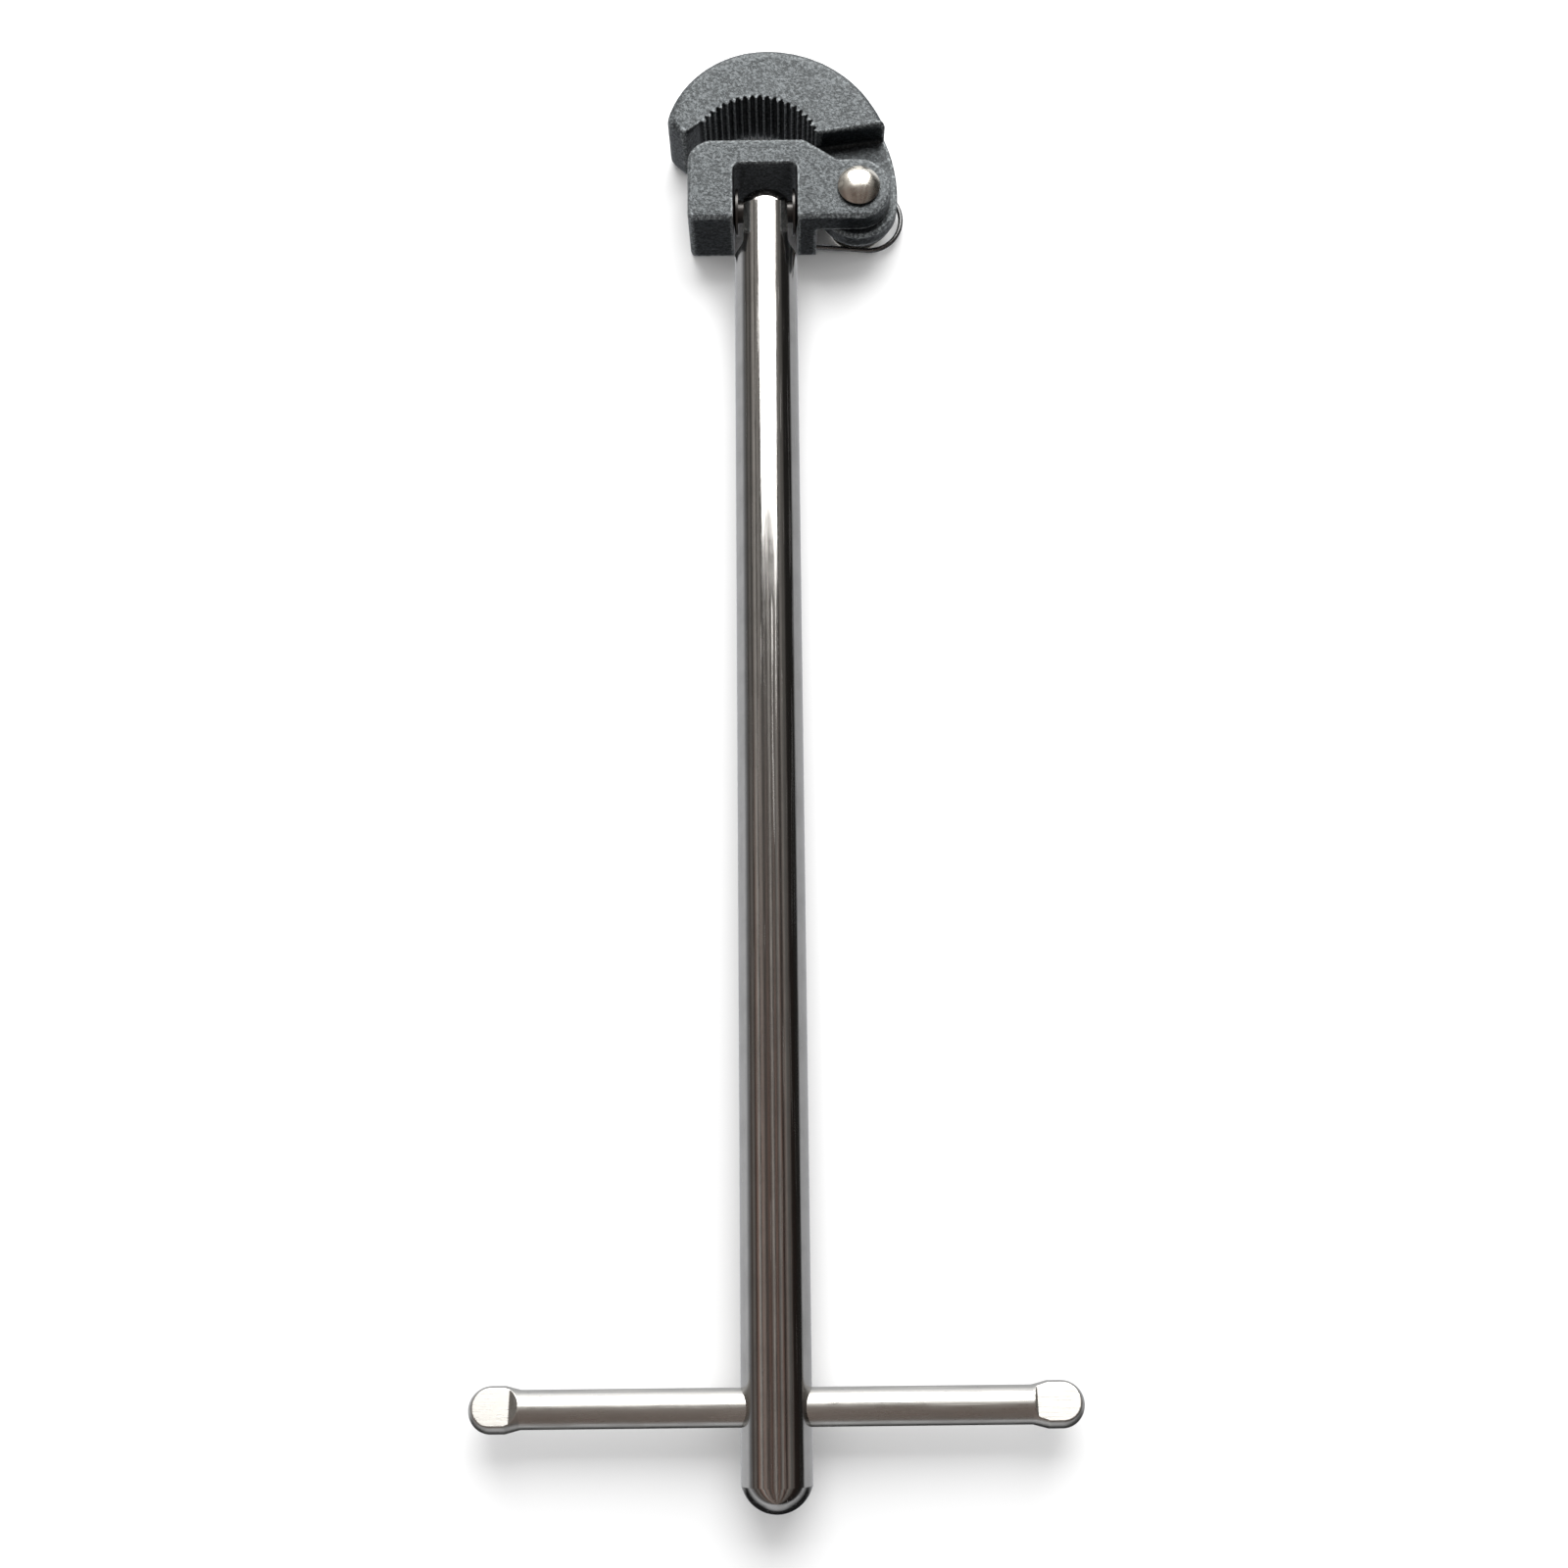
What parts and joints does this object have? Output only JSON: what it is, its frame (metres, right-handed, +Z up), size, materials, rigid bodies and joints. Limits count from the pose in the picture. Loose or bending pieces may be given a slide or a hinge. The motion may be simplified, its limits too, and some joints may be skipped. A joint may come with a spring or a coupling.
{
  "type": "basin wrench",
  "caption": "Long-shafted wrench for tap nuts, with a sprung toothed jaw on a tilting head at one end and a sliding bar handle through the other.",
  "frame": {"origin": "middle of the whole tool in plan, on the surface that it lies on", "axes": "+Y along the shaft towards the head, +X along the sliding bar towards the jaw's pivot, +Z up through the head's front face"},
  "size_m": [0.1076, 0.2818, 0.0181],
  "materials": {
    "polished_steel": "polished and plated, with fine marks along the shaft",
    "satin_steel": "satin nickel plate, with pressed flats at the ends",
    "powder_coat": "blue-grey crinkled powder coat on an iron casting",
    "nickel_plate": "bright nickel plate",
    "spring_wire": "drawn spring wire, oiled",
    "pin_steel": "ground and lightly oiled"
  },
  "bodies": {
    "shaft": {"shaft": "polished_steel"},
    "bar": {"sliding_bar": "satin_steel"},
    "head": {"head_body": "powder_coat", "hinge_pin": "pin_steel", "cup_washer_left": "pin_steel", "cup_washer_right": "pin_steel", "jaw_rivet": "nickel_plate", "rivet_washer": "nickel_plate", "jaw_spring": "spring_wire"},
    "jaw": {"jaw": "powder_coat"}
  },
  "joints": [
    {"name": "bar_slide", "type": "slide", "parent": "shaft", "child": "bar", "axis": [1, 0, 0], "range_m": [-0.038, 0.038]},
    {"name": "head_tilt", "type": "hinge", "parent": "shaft", "child": "head", "pos_m": [0, 0.1083, 0.0078], "axis": [1, 0, 0], "range_deg": [-90, 90]},
    {"name": "jaw_pivot", "type": "hinge", "parent": "head", "child": "jaw", "pos_m": [0.0187, 0.1093, 0.0078], "axis": [0, 0, -1], "range_deg": [0, 95], "stiffness_Nm_per_rad": 0.18, "springref_deg": -28.65, "deforming": ["jaw_spring"]}
  ]
}
